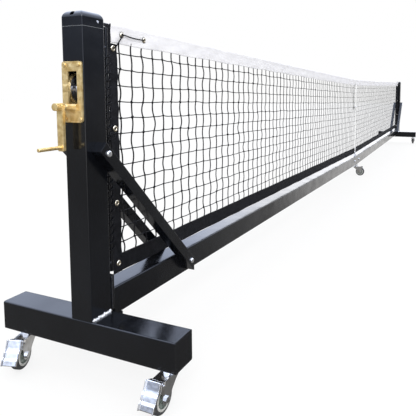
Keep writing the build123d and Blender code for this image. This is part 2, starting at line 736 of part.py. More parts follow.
def snap_hook():
    """Swivel snap hook: neck in the loop, oval hook through the eye on the beam."""
    neck = rod_z(1.2, LOOP_Z - 9, LOOP_Z + 3, 0, 0) + rod_z(2.6, LOOP_Z - 0.2, LOOP_Z + 3, 0, 0)
    neck += rod_z(4.5, LOOP_Z - 13, LOOP_Z - 4.3, 0, 0)
    ring = rod_y(15, -2, 2, 0, HOOK_Z) - rod_y(11, -3, 3, 0, HOOK_Z)
    gate_gap = block(8, 20, -4, 4, HOOK_Z - 4, HOOK_Z + 12)
    return Pos(XM, HOOK_Y, 0) * (neck + ring - gate_gap)


GATE_PIVOT = (11.3, HOOK_Z + 8.0)


def hook_gate():
    x, z = GATE_PIVOT
    gate = block(x - 1.3, x + 1.3, -1.8, 1.8, HOOK_Z - 3.6, z)
    gate += rod_y(1.6, -1.8, 1.8, x, z)
    return Pos(XM, HOOK_Y, 0) * gate


save("strap_hook", snap_hook())
save("hook_gate", hook_gate())


def beam_eye():
    """Eye bolt on top of the beam, its ring stands across the hook."""
    top = beam_bottom(XM) + BEAM_HEIGHT
    shank = rod_z(4.9, top - 10, top + 9, 0, HOOK_Y)
    collar = rod_z(9, top + 0.15, top + 4, 0, HOOK_Y)
    ring = Pos(0, HOOK_Y, HOOK_Z - 14.5) * Rot(0, 90, 0) * Torus(7.5, 2.2)
    return Pos(XM, 0, 0) * (shank + collar + ring)


save("beam_eye", beam_eye())
print("left post axis", XL, "right post axis", XR, "middle", XM)
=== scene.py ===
import json
import math
import bpy
import numpy as np
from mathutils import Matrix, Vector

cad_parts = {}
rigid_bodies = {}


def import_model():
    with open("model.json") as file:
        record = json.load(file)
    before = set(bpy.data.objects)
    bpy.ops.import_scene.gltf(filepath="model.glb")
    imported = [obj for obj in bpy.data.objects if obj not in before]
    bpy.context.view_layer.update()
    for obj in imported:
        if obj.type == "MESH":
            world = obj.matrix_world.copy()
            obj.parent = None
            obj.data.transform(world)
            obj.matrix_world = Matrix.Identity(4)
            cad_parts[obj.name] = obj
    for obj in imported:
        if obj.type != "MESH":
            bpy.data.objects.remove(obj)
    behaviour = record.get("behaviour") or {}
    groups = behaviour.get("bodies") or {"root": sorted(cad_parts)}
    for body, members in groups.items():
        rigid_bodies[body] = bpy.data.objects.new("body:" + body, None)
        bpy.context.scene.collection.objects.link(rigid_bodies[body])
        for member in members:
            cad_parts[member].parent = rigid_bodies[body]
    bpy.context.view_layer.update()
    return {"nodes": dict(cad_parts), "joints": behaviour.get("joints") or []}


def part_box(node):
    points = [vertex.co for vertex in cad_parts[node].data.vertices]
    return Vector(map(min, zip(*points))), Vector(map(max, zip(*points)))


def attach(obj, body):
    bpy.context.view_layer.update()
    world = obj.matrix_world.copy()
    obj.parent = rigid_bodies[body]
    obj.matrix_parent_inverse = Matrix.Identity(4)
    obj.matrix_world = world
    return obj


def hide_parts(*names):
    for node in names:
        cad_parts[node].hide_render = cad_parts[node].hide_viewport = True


# Rolling court net with a winch, put together from the floor up. Everything is in metres in
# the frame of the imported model: +X runs along the net, the front faces -Y.
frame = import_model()
cad = frame["nodes"]
scene = bpy.context.scene
for spare in [o for o in scene.objects if o.name in ("Cube", "Light", "Camera")]:
    bpy.data.objects.remove(spare)

# ------------------------------------------------------------------ where it stands
# Camera at the height of a standing table, a white floor, and a white hall whose roof lights and
# far end show bright in the gloss of the paint, while its near walls show dim.
post_low, post_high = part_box("left_post")
far_low, far_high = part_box("right_post")
POST = (post_low[0] + post_high[0]) / 2
FAR_POST = (far_low[0] + far_high[0]) / 2
MIDDLE = (POST + FAR_POST) / 2
HALF_SPAN = (FAR_POST - POST) / 2
ENDS = (("left", POST, 1), ("right", FAR_POST, -1))     # side, post axis, way into the net

camera_data = bpy.data.cameras.new("camera")
camera = bpy.data.objects.new("camera", camera_data)
scene.collection.objects.link(camera)
camera.location = (POST - 0.9118, -0.8261, 0.7301)
camera.rotation_euler = (math.radians(84.51), 0, math.radians(-65.73))
camera_data.sensor_width = 36
camera_data.lens = 41.52
camera_data.shift_x, camera_data.shift_y = -0.0791, -0.1611
camera_data.clip_end = 80
scene.camera = camera
scene.view_settings.view_transform = "Standard"


def link_nodes(tree, *pairs):
    """Join pairs of an output and an input, each given as (node, socket name)."""
    for (a, out), (b, into) in pairs:
        tree.links.new(a.outputs[out], b.inputs[into])


def node(tree, kind, values=(), **settings):
    """A shader node with its settings and the values of its sockets."""
    n = tree.nodes.new("ShaderNode" + kind)
    for key, value in settings.items():
        setattr(n, key, value)
    for socket, value in dict(values).items():
        n.inputs[socket].default_value = value
    return n


def sky():
    """Even white to the eye and for soft light. In gloss the hall is dim near the ground, bright
    and a little blue higher up and towards the far end, with a tall window behind the camera."""
    world = bpy.data.worlds.new("hall")
    world.use_nodes = True
    tree = world.node_tree
    tree.nodes.clear()
    place = node(tree, "TexCoord")
    axes = node(tree, "SeparateXYZ")
    link_nodes(tree, ((place, "Generated"), (axes, "Vector")))

    def by(axis, low, high, start, end):
        """Smooth rise from one value to another as the direction's part along an axis grows."""
        rise = node(tree, "MapRange", {1: low, 2: high, 3: start, 4: end},
                    interpolation_type="SMOOTHSTEP")
        tree.links.new(axes.outputs[axis], rise.inputs[0])
        return rise

    def joined(operation, first, *others):
        """Parts taken together, one after another, by one operation."""
        for other in others:
            step = node(tree, "Math", operation=operation)
            link_nodes(tree, ((first, 0), (step, 0)), ((other, 0), (step, 1)))
            first = step
        return first

    walls = joined("MULTIPLY", by("Z", -0.15, 0.0, 0.26, 0.35), by("Y", -0.4, 0.2, 0.56, 1.08),
                   by("X", 0.755, 0.88, 1.0, 2.3))
    roof = joined("ADD", by("Z", 0.12, 0.375, 0.0, 1.45), by("Z", 0.5, 0.8, 0.0, 1.6))
    far_side = joined("MULTIPLY", by("X", 0.70, 0.90, 0.0, 1.0), by("Y", -0.04, 0.10, 0.0, 1.0),
                      by("Z", 0.02, 0.09, 0.0, 2.4))
    far_end = joined("MULTIPLY", by("X", 0.895, 0.955, 0.0, 1.0), by("Z", 0.0, 0.05, 1.1, 1.7))
    window = joined("MULTIPLY", by("X", -0.25, -0.45, 0.0, 1.0), by("Y", -0.25, -0.45, 0.0, 1.0),
                    by("Z", -0.30, 0.0, 0.5, 1.6))
    strength = joined("MAXIMUM", joined("ADD", walls, roof), far_side, far_end, window)
    blueness = joined("MULTIPLY", by("Z", -0.03, 0.10, 0.0, 1.0), by("X", 0.80, 0.93, 1.0, 0.2))
    tint = node(tree, "MixRGB", {"Color1": (1.0, 0.99, 0.98, 1), "Color2": (0.84, 0.95, 1.22, 1)})
    shiny = node(tree, "Background")
    soft = node(tree, "Background", {"Color": (1, 1, 1, 1), "Strength": 0.9})
    white = node(tree, "Background", {"Color": (1, 1, 1, 1), "Strength": 1.0})
    path = node(tree, "LightPath")
    by_gloss = node(tree, "MixShader")
    by_eye = node(tree, "MixShader")
    out = node(tree, "OutputWorld")
    link_nodes(tree, ((strength, 0), (shiny, "Strength")), ((blueness, 0), (tint, 0)),
               ((tint, 0), (shiny, "Color")), ((path, "Is Glossy Ray"), (by_gloss, 0)),
               ((soft, 0), (by_gloss, 1)), ((shiny, 0), (by_gloss, 2)),
               ((path, "Is Camera Ray"), (by_eye, 0)), ((by_gloss, 0), (by_eye, 1)),
               ((white, 0), (by_eye, 2)), ((by_eye, 0), (out, 0)))
    scene.world = world


def lamp(name, kind, strength, aim, seen_in_gloss, **settings):
    """A light that shines along aim, given as (turn about X, turn about Z) in degrees."""
    data = bpy.data.lights.new(name, kind)
    data.energy = strength
    for key, value in settings.items():
        setattr(data, key, value)
    obj = bpy.data.objects.new(name, data)
    obj.rotation_euler = (math.radians(aim[0]), 0, math.radians(aim[1]))
    obj.visible_glossy = seen_in_gloss
    scene.collection.objects.link(obj)
    return obj


sky()
lamp("roof_light", "SUN", 1.0, (8, -60), False, angle=math.radians(80))
lamp("side_light", "SUN", 0.6, (58, -40), False, angle=math.radians(70))
bench = lamp("bench_light", "AREA", 36, (62, -50), True, size=0.9)
bench.location = (POST - 1.9, -1.3, 2.1)


def mesh_piece(name, points, faces, material, smooth=True):
    """Mesh from an array of points and an array or a list of faces."""
    mesh = bpy.data.meshes.new(name)
    faces = faces.tolist() if isinstance(faces, np.ndarray) else faces
    mesh.from_pydata(np.asarray(points, float).reshape(-1, 3).tolist(), [], faces)
    mesh.polygons.foreach_set("use_smooth", np.full(len(mesh.polygons), smooth))
    mesh.materials.append(material)
    mesh.update()
    piece = bpy.data.objects.new(name, mesh)
    scene.collection.objects.link(piece)
    return piece


def thicken(piece, name, thickness):
    """Give a one-sided sheet its wall, half of it on each side."""
    wall = piece.modifiers.new(name, "SOLIDIFY")
    wall.thickness, wall.offset = thickness, 0.0


def finish_material(name, colour, rough, metal=0.0, edge=None, **sockets):
    """A material with its own values on the shader. edge is the radius that edges look eased to."""
    material = bpy.data.materials.new(name)
    material.use_nodes = True
    tree, shader = surface(material)
    shader.inputs["Base Color"].default_value = (*colour, 1)
    shader.inputs["Roughness"].default_value = rough
    shader.inputs["Metallic"].default_value = metal
    for socket, value in sockets.items():
        shader.inputs[socket.replace("_", " ")].default_value = value
    if edge:
        eased = node(tree, "Bevel", {"Radius": edge}, samples=4)
        tree.links.new(eased.outputs[0], shader.inputs["Normal"])
    return material


def surface(material):
    """A material's node tree and its shader."""
    return material.node_tree, material.node_tree.nodes["Principled BSDF"]


def mottle(material, socket, scale, low, high, detail=4.0, stretch=(1, 1, 1)):
    """Noise through the piece drives one socket between low and high. A colour takes two colours."""
    tree, shader = surface(material)
    place = node(tree, "TexCoord")
    spread = node(tree, "Mapping", {"Scale": stretch})
    noise = node(tree, "TexNoise", {"Scale": scale, "Detail": detail})
    link_nodes(tree, ((place, "Object"), (spread, "Vector")), ((spread, "Vector"), (noise, "Vector")))
    if isinstance(low, tuple):
        ramp = node(tree, "ValToRGB")
        for stop, colour, position in zip(ramp.color_ramp.elements, (low, high), (0.35, 0.65)):
            stop.color, stop.position = (*colour, 1), position
    else:
        ramp = node(tree, "MapRange", {1: 0.3, 2: 0.7, 3: low, 4: high})
    tree.links.new(noise.outputs[0], ramp.inputs[0])
    tree.links.new(ramp.outputs[0], shader.inputs[socket])


def grain(material, scale, depth, detail=3.0, stretch=(1, 1, 1)):
    """Noise bump, depth in metres. A second call adds its bump on top of the first."""
    tree = material.node_tree
    place = node(tree, "TexCoord")
    spread = node(tree, "Mapping", {"Scale": stretch})
    noise = node(tree, "TexNoise", {"Scale": scale, "Detail": detail})
    bump = node(tree, "Bump", {"Strength": 1.0, "Distance": depth})
    link_nodes(tree, ((place, "Object"), (spread, "Vector")), ((spread, "Vector"), (noise, "Vector")))
    tree.links.new(noise.outputs[0], bump.inputs["Height"])
    add_bump(material, bump)


def add_bump(material, bump):
    """Lay a bump over what already feeds the shader's normal."""
    tree, shader = surface(material)
    for old in list(shader.inputs["Normal"].links):
        tree.links.new(old.from_socket, bump.inputs["Normal"])
    tree.links.new(bump.outputs[0], shader.inputs["Normal"])


# The floor is lit from below as well, to the eye only, so that shadows on it stay faint.
white_floor = finish_material("white_floor", (0.78, 0.78, 0.78), 0.9)
floor_tree, floor_shader = surface(white_floor)
glow = node(floor_tree, "Emission", {"Color": (1, 1, 1, 1), "Strength": 1.0})
eye_only = node(floor_tree, "LightPath")
share = node(floor_tree, "Math", {1: 0.8}, operation="MULTIPLY")
blend = node(floor_tree, "MixShader")
link_nodes(floor_tree, ((eye_only, "Is Camera Ray"), (share, 0)), ((share, 0), (blend, 0)),
           ((floor_shader, 0), (blend, 1)), ((glow, 0), (blend, 2)),
           ((blend, 0), (floor_tree.nodes["Material Output"], 0)))
FLOOR = 40
floor = mesh_piece("floor", [(-FLOOR, -FLOOR, 0), (FLOOR, -FLOOR, 0), (FLOOR, FLOOR, 0), (-FLOOR, FLOOR, 0)],
                   [(0, 1, 2, 3)], white_floor)
floor.visible_glossy = False

# ------------------------------------------------------------------ feet, posts, beam and braces
# Welded square tube in a thick gloss coat, almost black with a little navy. The coat has faint
# orange peel, and dust and rubbing make it duller in places.
navy_gloss = finish_material("navy_gloss", (0.0026, 0.0031, 0.0046), 0.16, edge=0.0012, IOR=1.5)
mottle(navy_gloss, "Roughness", 9.0, 0.10, 0.24, stretch=(1, 1, 2))
mottle(navy_gloss, "Base Color", 5.0, (0.0018, 0.0022, 0.0034), (0.0036, 0.0042, 0.0060))
grain(navy_gloss, 260.0, 0.00006)
grain(navy_gloss, 14.0, 0.0008, detail=1.0)


def coat(material, *names):
    """Give CAD nodes this finish."""
    for name in names:
        cad[name].data.materials.clear()
        cad[name].data.materials.append(material)


coat(navy_gloss, "left_post", "right_post", "left_post_cap", "right_post_cap", "left_foot",
     "right_foot", "foot_end_plates", "beam_left_half", "beam_right_half", "beam_mounting_plates",
     "left_front_brace", "left_back_brace", "right_front_brace", "right_back_brace", "lacing_rods")


def fixed(slot, *pieces):
    """Pieces that stand still with the frame. slot, the name of their material's slot, is not used."""
    for piece in pieces:
        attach(piece, "frame")


def grid_faces(rows, columns, close_rows=False, close_columns=False):
    """Quads between neighbouring points of a grid, wrapping round where it is closed."""
    i = np.arange(rows if close_rows else rows - 1)[:, None]
    j = np.arange(columns if close_columns else columns - 1)[None, :]
    a, b = i * columns + j, i * columns + (j + 1) % columns
    c, d = ((i + 1) % rows) * columns + (j + 1) % columns, ((i + 1) % rows) * columns + j
    return np.stack([a, b, c, d], -1).reshape(-1, 4)


def tube(path, radius, sides, up=(0, 0, 1), closed=False):
    """Points and faces of a tube: every ring is centre + r * (cos a * side + sin a * over).

    path is one line of points or many lines of the same count, radius one number or one
    for each point."""
    path = np.asarray(path, float)
    path = path[None] if path.ndim == 2 else path
    lines, count = path.shape[:2]
    if closed:
        ahead = np.roll(path, -1, 1) - np.roll(path, 1, 1)
    else:
        ahead = np.gradient(path, axis=1)
    ahead /= np.linalg.norm(ahead, axis=-1, keepdims=True)
    side = np.cross(np.broadcast_to(np.asarray(up, float), ahead.shape), ahead)
    side /= np.linalg.norm(side, axis=-1, keepdims=True)
    over = np.cross(ahead, side)
    angle = np.arange(sides) * 2 * np.pi / sides
    radius = np.broadcast_to(np.asarray(radius, float), (lines, count))[..., None, None]
    ring = np.cos(angle)[:, None] * side[:, :, None] + np.sin(angle)[:, None] * over[:, :, None]
    points = path[:, :, None] + radius * ring
    one = grid_faces(count, sides, close_rows=closed, close_columns=True)
    faces = (one[None] + (np.arange(lines) * count * sides)[:, None, None]).reshape(-1, 4)
    return points.reshape(-1, 3), faces


def capped(points, faces, lines, count, sides):
    """A tube's quads with a point closing each end, as lists of faces."""
    points = points.reshape(lines, count, sides, 3)
    ends = np.stack([points[:, 0].mean(1), points[:, -1].mean(1)], 1).reshape(-1, 3)
    tip = np.broadcast_to(lines * count * sides + 2 * np.arange(lines)[:, None], (lines, sides))
    j = np.arange(sides)[None, :]
    base = (np.arange(lines) * count * sides)[:, None]
    last = base + (count - 1) * sides
    first = np.stack([tip, base + (j + 1) % sides, base + j], -1).reshape(-1, 3)
    second = np.stack([tip + 1, last + j, last + (j + 1) % sides], -1).reshape(-1, 3)
    points = np.concatenate([points.reshape(-1, 3), ends])
    return points, faces.tolist() + first.tolist() + second.tolist()


class Bundle:
    """Points and faces of several shapes gathered into one piece."""

    def __init__(self):
        self.points, self.faces, self.count = [], [], 0

    def add(self, points, faces):
        self.points.append(np.asarray(points, float).reshape(-1, 3))
        faces = faces.tolist() if isinstance(faces, np.ndarray) else faces
        self.faces += [[v + self.count for v in f] for f in faces]
        self.count += len(self.points[-1])

    def tube(self, path, radius, sides=12, up=(0, 0, 1)):
        path = np.asarray(path, float)
        path = path[None] if path.ndim == 2 else path
        self.add(*capped(*tube(path, radius, sides, up), path.shape[0], path.shape[1], sides))

    def piece(self, name, material, smooth=True):
        return mesh_piece(name, np.concatenate(self.points), self.faces, material, smooth)


# Weld beads: overlapping drops of bare silver metal along the foot of each post, front and
# back, and dark painted ones down the edges of the mounting plates.
bare_weld = finish_material("bare_weld", (0.74, 0.73, 0.71), 0.38, 0.7)
grain(bare_weld, 420.0, 0.0004)
mottle(bare_weld, "Base Color", 160.0, (0.48, 0.47, 0.45), (0.90, 0.89, 0.87))
FOOT_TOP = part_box("left_foot")[1][2]
POST_HALF = (post_high[0] - post_low[0]) / 2
POST_FRONT = post_low[1]


def bead(start, end, radius, drop=0.0042):
    """Bead along a line: the radius swells and pinches once for each drop."""
    start, end = np.asarray(start, float), np.asarray(end, float)
    length = np.linalg.norm(end - start)
    along = np.linspace(0, 1, max(int(length / drop) * 8, 9))[:, None]
    wander = radius * (0.17 * np.sin(along * length * 310) + 0.10 * np.sin(along * length * 870 + 1))
    swell = radius * (0.80 + 0.32 * np.abs(np.sin(along[:, 0] * length / drop * np.pi)))
    swell *= np.clip(np.minimum(along, 1 - along)[:, 0] * length / radius, 0.25, 1)
    return start + along * (end - start) + wander * np.array([0.3, 1, 1]), swell


FOOT_WELD_RADIUS, PLATE_WELD_RADIUS = 0.0043, 0.0019
PLATE_EDGE = 0.0318      # mounting plate's edge, from the net's plane
foot_welds, plate_welds = Bundle(), Bundle()
plate_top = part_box("beam_mounting_plates")[1][2]
for _, axis, inward in ENDS:
    for face in (-1, 1):
        y = face * (abs(POST_FRONT) + 0.0006)
        foot_welds.tube(*bead((axis - inward * (POST_HALF - 0.004), y, FOOT_TOP + 0.0008),
                              (axis + inward * (POST_HALF - 0.001), y, FOOT_TOP + 0.0008),
                              FOOT_WELD_RADIUS), up=(0, 1, 0))
        x, y = axis + inward * (POST_HALF + 0.003), face * PLATE_EDGE
        plate_welds.tube(*bead((x, y, FOOT_TOP + 0.004), (x, y, plate_top - 0.003), PLATE_WELD_RADIUS),
                         up=(0, 1, 0))
foot_welds = foot_welds.piece("foot_welds", bare_weld)
plate_welds = plate_welds.piece("plate_welds", navy_gloss)

# The line where the cap meets the post: a thin pale bead round the joint, a painted highlight that stands in
# for the light caught along the seam.
seam_highlight_paint = finish_material("seam_highlight_paint", (0.22, 0.23, 0.24), 0.5)
CAP_JOINT = post_high[2]


def rounded_rectangle(half_x, half_y, corner, count=8):
    """Closed outline: four quarter circles joined by straight runs."""
    turn = np.linspace(0, np.pi / 2, count)
    quarters = []
    for k, (sx, sy) in enumerate(((1, 1), (-1, 1), (-1, -1), (1, -1))):
        angle = turn + k * np.pi / 2
        centre = np.array([sx * (half_x - corner), sy * (half_y - corner)])
        quarters.append(centre + corner * np.stack([np.cos(angle), np.sin(angle)], -1))
    return np.concatenate(quarters)


POST_CORNER, SEAM_HIGHLIGHT_RADIUS = 0.004, 0.00035
joint_lines = Bundle()
for _, axis, _ in ENDS:
    outline = rounded_rectangle(POST_HALF, abs(POST_FRONT), POST_CORNER)
    ring = np.column_stack([axis + outline[:, 0], outline[:, 1], np.full(len(outline), CAP_JOINT)])
    joint_lines.add(*tube(ring, SEAM_HIGHLIGHT_RADIUS, 6, closed=True))
joint_lines = joint_lines.piece("cap_joint_lines", seam_highlight_paint)

# Bolts, screws and stems: bright zinc plate with a fine brushed grain.
zinc = finish_material("bright_zinc", (0.90, 0.90, 0.90), 0.30, 1.0, edge=0.0006)
mottle(zinc, "Roughness", 60.0, 0.22, 0.40)
grain(zinc, 600.0, 0.00003)
coat(zinc, "beam_bolts", "brace_bolts", "cap_and_winch_screws", "caster_stems", "pulley_axles",
     "tie_off_pin", "beam_sleeve", "beam_eye", "worm_shaft")
fixed("zinc_steel", foot_welds)
fixed("navy_paint", plate_welds, joint_lines)

# ------------------------------------------------------------------ casters
# Pressed and chromed forks on the stems, a dark rubber tyre on a grey-green wheel with a pale
# band, and on the four corner casters a ridged brake pedal behind the wheel.
chrome = finish_material("caster_chrome", (0.78, 0.77, 0.76), 0.16, 1.0, edge=0.0008)
mottle(chrome, "Roughness", 70.0, 0.08, 0.24)
mottle(chrome, "Base Color", 30.0, (0.64, 0.62, 0.59), (0.84, 0.84, 0.84))
grain(chrome, 55.0, 0.0006, detail=1.0)
tyre_rubber = finish_material("tyre_rubber", (0.028, 0.029, 0.031), 0.55)
mottle(tyre_rubber, "Base Color", 50.0, (0.020, 0.021, 0.023), (0.055, 0.054, 0.052))
grain(tyre_rubber, 500.0, 0.00015)
wheel_plastic = finish_material("wheel_plastic", (0.16, 0.19, 0.17), 0.42)
mottle(wheel_plastic, "Base Color", 90.0, (0.12, 0.145, 0.13), (0.22, 0.25, 0.225))
grain(wheel_plastic, 300.0, 0.0001)
pale_band = finish_material("pale_wheel_band", (0.42, 0.42, 0.40), 0.35)
mottle(pale_band, "Base Color", 60.0, (0.34, 0.34, 0.32), (0.50, 0.50, 0.48))

joint = {j["name"]: j for j in frame["joints"]}
WHEEL_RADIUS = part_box("middle_tyre")[1][2] / 2
WHEEL_CENTRE = (-0.038, 0, WHEEL_RADIUS)
# Half section of the pale band: (radius, distance from the wheel's middle plane).
BAND = [(0.0225, 0.0108), (0.0228, 0.0118), (0.0245, 0.0123), (0.0268, 0.0121), (0.0284, 0.0112),
        (0.0284, 0.0106)]
PEDAL_HALF_WIDTH, PEDAL_WALL = 0.0205, 0.0018
PEDAL_PIVOT = (-0.052, 0.078)
PIVOT_RADIUS, PIVOT_HALF = 0.003, 0.0218
# Side view of the pedal, from its top edge down to the lip that the toe presses.
PEDAL_LINE = np.array([(-0.0585, 0.0875), (-0.0620, 0.0795), (-0.0665, 0.0695), (-0.0697, 0.0635),
                       (-0.0737, 0.0622), (-0.0770, 0.0560), (-0.0812, 0.0478), (-0.0852, 0.0470),
                       (-0.0880, 0.0408), (-0.0912, 0.0340)])
# Side view of the ears that carry the pedal on its pivot, and where their faces lie across it.
EAR_LINE = [(-0.0460, 0.0735), (-0.0450, 0.0835), (-0.0575, 0.0868), (-0.0676, 0.0628),
            (-0.0560, 0.0690), (-0.0460, 0.0735)]
EAR_FACES = (0.0181, 0.0185, 0.0201, 0.0205)


def turned(points, name):
    """Place points made with the stem on Z and the wheel towards -X on the named caster."""
    (x, y, _), axis = joint[name + "_swivel"]["pos_m"], joint[name + "_wheel_spin"]["axis"]
    c, s = axis[1], -axis[0]
    points = np.asarray(points, float)
    return np.stack([x + c * points[..., 0] - s * points[..., 1],
                     y + s * points[..., 0] + c * points[..., 1], points[..., 2]], -1)


def smooth_line(points, count):
    """Evenly spaced points on a line through the given ones, each a running mean of its neighbours."""
    points = np.asarray(points, float)
    run = np.concatenate([[0], np.cumsum(np.linalg.norm(np.diff(points, axis=0), axis=1))])
    at = np.linspace(0, run[-1], count)
    line = np.stack([np.interp(at, run, points[:, k]) for k in range(points.shape[1])], -1)
    line[1:-1] = 0.25 * line[:-2] + 0.5 * line[1:-1] + 0.25 * line[2:]
    return line


def pedal_points():
    """Channel: the side view carried across Y, its edges folded back towards the wheel."""
    line = smooth_line(PEDAL_LINE, 46)
    back = np.gradient(line, axis=0)
    back = np.stack([-back[:, 1], back[:, 0]], -1) / np.linalg.norm(back, axis=1)[:, None]
    across = np.array([-1, -1, -1, -0.96, -0.86, -0.6, -0.3, 0, 0.3, 0.6, 0.86, 0.96, 1, 1, 1])
    fold = np.array([0.0075, 0.004, 0.0018, 0.0004, 0, 0, 0, 0, 0, 0, 0, 0.0004, 0.0018, 0.004, 0.0075])
    place = line[:, None] - back[:, None] * fold[None, :, None]
    y = np.broadcast_to(across * (PEDAL_HALF_WIDTH - 0.0012), (len(line), len(across)))
    return np.stack([place[..., 0], y, place[..., 1]], -1)


def ring_points(profile, centre, sides):
    """Profile of (radius, y) pairs turned about a line along Y through centre."""
    angle = np.arange(sides) * 2 * np.pi / sides
    profile = np.asarray(profile, float)
    return np.stack([centre[0] + profile[None, :, 0] * np.cos(angle)[:, None],
                     centre[1] + np.broadcast_to(profile[None, :, 1], (sides, len(profile))),
                     centre[2] + profile[None, :, 0] * np.sin(angle)[:, None]], -1)


for name in ("left_front", "left_back", "middle", "right_front", "right_back"):
    coat(chrome, name + "_caster_fork")
    coat(tyre_rubber, name + "_tyre")
    coat(wheel_plastic, name + "_wheel_core")
    bands = Bundle()
    for side in (-1, 1):
        profile = [(r, side * y) for r, y in BAND]
        faces = grid_faces(72, len(BAND), close_rows=True, close_columns=True)
        bands.add(turned(ring_points(profile, WHEEL_CENTRE, 72), name),
                  faces if side > 0 else faces[:, ::-1])
    bands = bands.piece(name + "_wheel_bands", pale_band)
    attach(bands, name + "_wheel")
    if name == "middle":
        continue
    points = pedal_points()
    lever = mesh_piece(name + "_ridged_pedal", turned(points, name), grid_faces(*points.shape[:2]), chrome)
    thicken(lever, "wall", PEDAL_WALL)
    ears = Bundle()
    outline = smooth_line(EAR_LINE, 36)[:-1]
    for side in (-1, 1):
        flat = np.stack([np.insert(outline, 1, side * y, axis=1) for y in EAR_FACES], 0)
        flat[[0, 3]] = flat[[0, 3]] * 0.985 + flat[[0, 3]].mean(1, keepdims=True) * 0.015
        rows, round_count = flat.shape[:2]
        ears.add(*capped(turned(flat, name), grid_faces(rows, round_count, close_columns=True),
                         1, rows, round_count))
    pin = [(PEDAL_PIVOT[0], y, PEDAL_PIVOT[1]) for y in (-PIVOT_HALF, 0, PIVOT_HALF)]
    ears.tube(turned(pin, name), PIVOT_RADIUS, 20)
    ears = ears.piece(name + "_pedal_ears", chrome)
    for piece in (lever, ears):
        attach(piece, name + "_pedal")
    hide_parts(name + "_brake_pedal")

# ------------------------------------------------------------------ winch
# Brass casting let into the outer face of the post, with a gear cover, a bridge that carries
# the worm and a crank. The brass is dull and mottled where the sand left it, brighter on edges.
brass = finish_material("cast_brass", (0.88, 0.68, 0.32), 0.40, 0.80, edge=0.0012)
mottle(brass, "Base Color", 75.0, (0.60, 0.41, 0.15), (0.88, 0.69, 0.35), detail=6.0)
mottle(brass, "Roughness", 140.0, 0.30, 0.52)
grain(brass, 330.0, 0.00018)
grain(brass, 60.0, 0.0011, detail=1.0)
reel_steel = finish_material("reel_steel", (0.74, 0.75, 0.78), 0.22, 1.0)
mottle(reel_steel, "Roughness", 40.0, 0.14, 0.34)
coat(reel_steel, "winch_reel")
coat(brass, "worm_wheel", "crank_handle", "crank_arm", "winch_housing")


def part_of(name, new_name, keep, material):
    """A merged copy of the loose solids of a CAD node whose middle passes the test keep."""
    mesh = cad[name].data
    points = np.empty(len(mesh.vertices) * 3)
    mesh.vertices.foreach_get("co", points)
    points = points.reshape(-1, 3)
    faces = np.array([list(p.vertices) for p in mesh.polygons])
    inside = keep(points[faces].mean(1))
    used, packed = np.unique(faces[inside], return_inverse=True)
    _, first, same = np.unique(np.round(points[used], 6), axis=0, return_index=True, return_inverse=True)
    corners = same.reshape(-1)[packed.reshape(-1)].reshape(-1, 3)
    return mesh_piece(new_name, points[used][first], corners, material, False)


ABOVE_WINCH = 0.83       # a height between the winch's screws and the caps'
winch_screws = part_of("cap_and_winch_screws", "winch_screws", lambda at: at[:, 2] < ABOVE_WINCH, brass)
cap_screws = part_of("cap_and_winch_screws", "cap_screws", lambda at: at[:, 2] > ABOVE_WINCH, zinc)
fixed("brass", winch_screws)
fixed("zinc_steel", cap_screws)
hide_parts("cap_and_winch_screws")

# ------------------------------------------------------------------ headline cable
# Vinyl-covered steel cable, 5 mm: up from the winch reel, over the pulley in the cap, through
# the headband, over the second pulley, down inside the far post and out to the tie-off pin.
cable_skin = finish_material("cable_skin", (0.035, 0.035, 0.038), 0.4)
mottle(cable_skin, "Roughness", 200.0, 0.3, 0.5)
grain(cable_skin, 900.0, 0.00012)
NET_START = 0.098        # headband end, from the post's axis
BAND_HALF = HALF_SPAN - NET_START
HEAD_END_TOP, HEAD_SAG, HEAD_POWER = 0.9155, 0.0515, 1.25
CABLE_RADIUS = 0.0025
CABLE_DEPTH = 0.006      # cable's centre, under the headband's top edge


def head_top(x):
    """Top edge of the net: end height less sag * (1 - t ** power), t from 0 in the middle to 1."""
    t = np.abs(x - MIDDLE) / BAND_HALF
    return HEAD_END_TOP - HEAD_SAG * (1 - t ** HEAD_POWER)


def spline(name, route, radius, material, resolution=6):
    """Smooth cord: a NURBS line through the room of its control points, with a round section."""
    curve = bpy.data.curves.new(name, "CURVE")
    curve.dimensions = "3D"
    line = curve.splines.new("NURBS")
    line.points.add(len(route) - 1)
    line.points.foreach_set("co", np.column_stack([np.asarray(route, float), np.ones(len(route))]).ravel())
    line.order_u = 3
    line.use_endpoint_u = True
    line.resolution_u = resolution
    curve.bevel_depth, curve.bevel_resolution, curve.use_fill_caps = radius, 4, True
    curve.materials.append(material)
    cord = bpy.data.objects.new(name, curve)
    scene.collection.objects.link(cord)
    return cord


slope = math.atan(HEAD_POWER * HEAD_SAG / BAND_HALF)
span_parts = MIDDLE + BAND_HALF * np.sin(np.pi * (np.arange(1, 28) / 28 - 0.5))
corner_z = HEAD_END_TOP - CABLE_DEPTH + slope * 0.118
route = [(POST - 0.0198, 0, 0.745), (POST - 0.0200, 0, 0.800), (POST - 0.0203, 0, 0.872),
         (POST - 0.0203, 0, corner_z - 0.001), (POST + 0.012, 0, corner_z - slope * 0.032)]
route += [(x, 0, head_top(x) - CABLE_DEPTH) for x in span_parts]
route += [(FAR_POST - 0.012, 0, corner_z - slope * 0.032), (FAR_POST + 0.0205, 0, corner_z - 0.001),
          (FAR_POST + 0.0213, 0, 0.868), (FAR_POST + 0.0222, 0, 0.760), (FAR_POST + 0.0225, 0, 0.712),
          (FAR_POST + 0.0475, 0, 0.668), (FAR_POST + 0.0475, 0, 0.634)]
cable = spline("cable", route, CABLE_RADIUS, cable_skin)
fixed("cable_steel", cable)
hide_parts("headline_cable")
EYE_TOP, EYE_INNER = 0.6325, FAR_POST + 0.04
tie_eye = part_of("headline_cable", "cable_eye",
                  lambda at: (at[:, 2] < EYE_TOP) & (at[:, 0] > EYE_INNER), zinc)
fixed("cable_steel", tie_eye)

